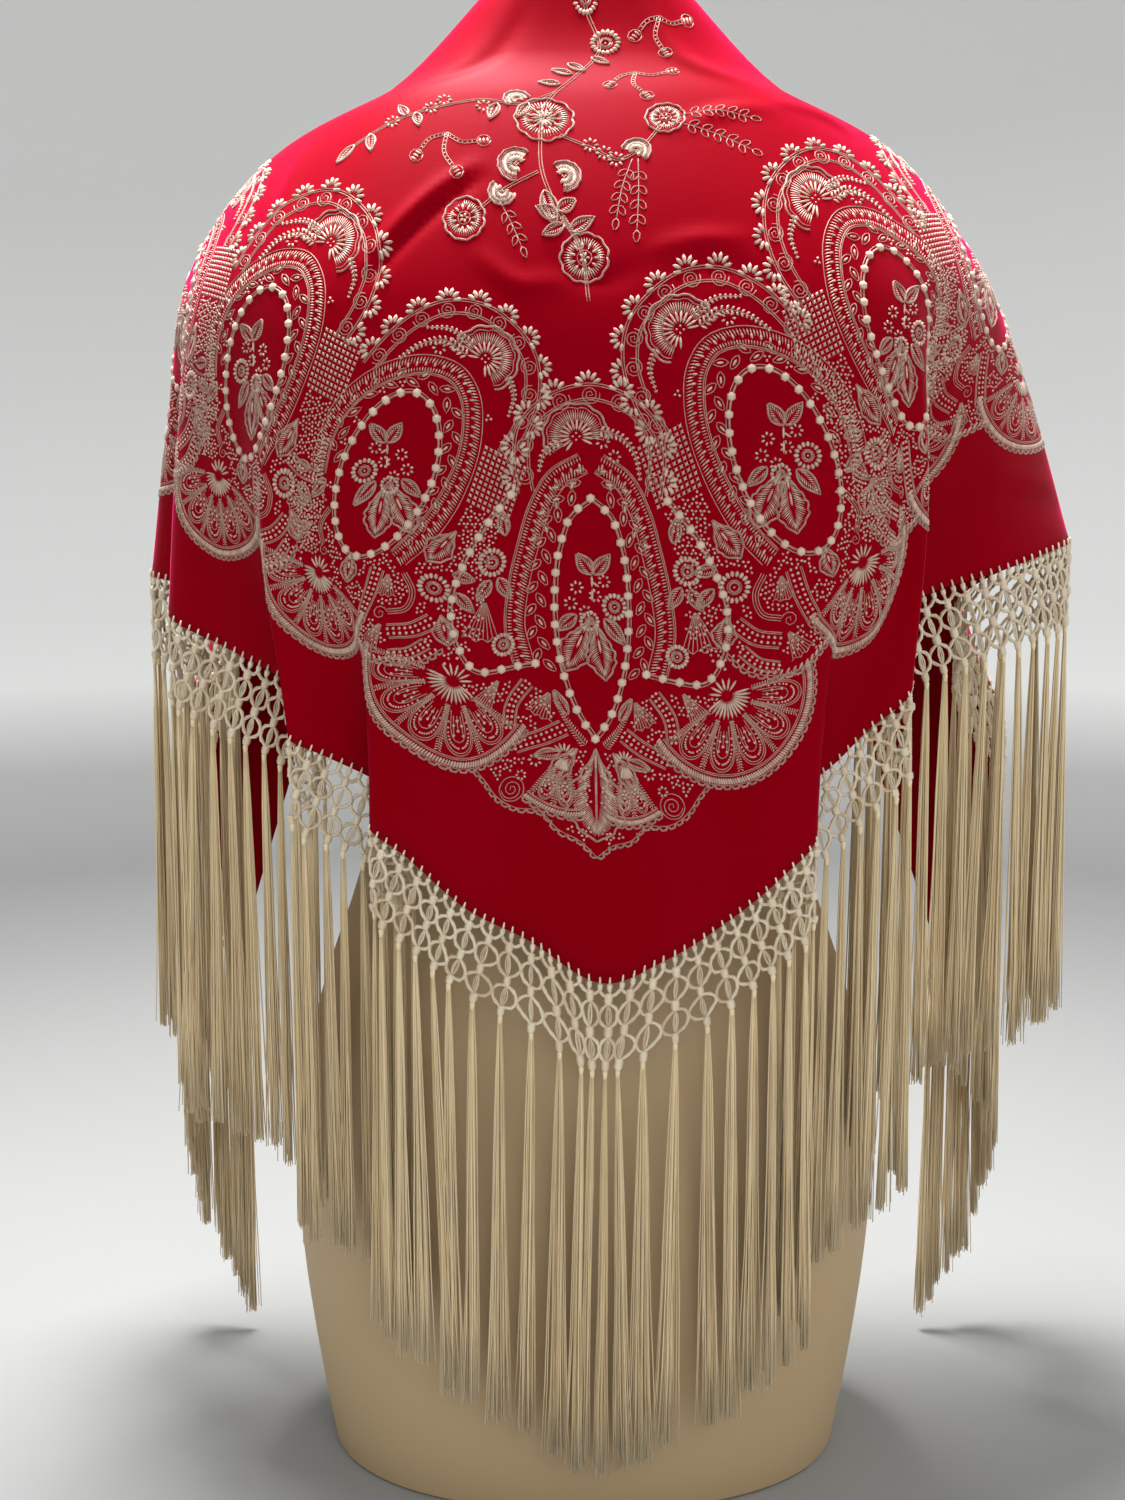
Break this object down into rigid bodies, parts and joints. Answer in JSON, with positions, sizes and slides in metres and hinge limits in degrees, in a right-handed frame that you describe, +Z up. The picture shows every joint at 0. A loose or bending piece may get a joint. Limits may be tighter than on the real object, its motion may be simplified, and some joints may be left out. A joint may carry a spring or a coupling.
{
  "type": "flamenco shawl on a limbless dress form",
  "caption": "Large triangular red silk shawl with cream embroidery, a knotted net border and long tassel fringe, draped round the shoulders of a limbless torso dress form.",
  "frame": {"origin": "middle of the dress form's flat base, on the surface that it stands on", "axes": "+Z up, the decorated back of the shawl faces -Y, the open front faces +Y, +X is the wearer's right"},
  "size_m": [0.5353, 0.2563, 0.862],
  "materials": {
    "red_silk": "soft satin sheen",
    "cream_fringe": "silky twisted yarn",
    "form_skin": "smooth matte"
  },
  "bodies": {
    "root": {"shawl_cloth": "red_silk", "net_fringe_left": "cream_fringe", "net_fringe_right": "cream_fringe", "dress_form": "form_skin"}
  },
  "joints": []
}
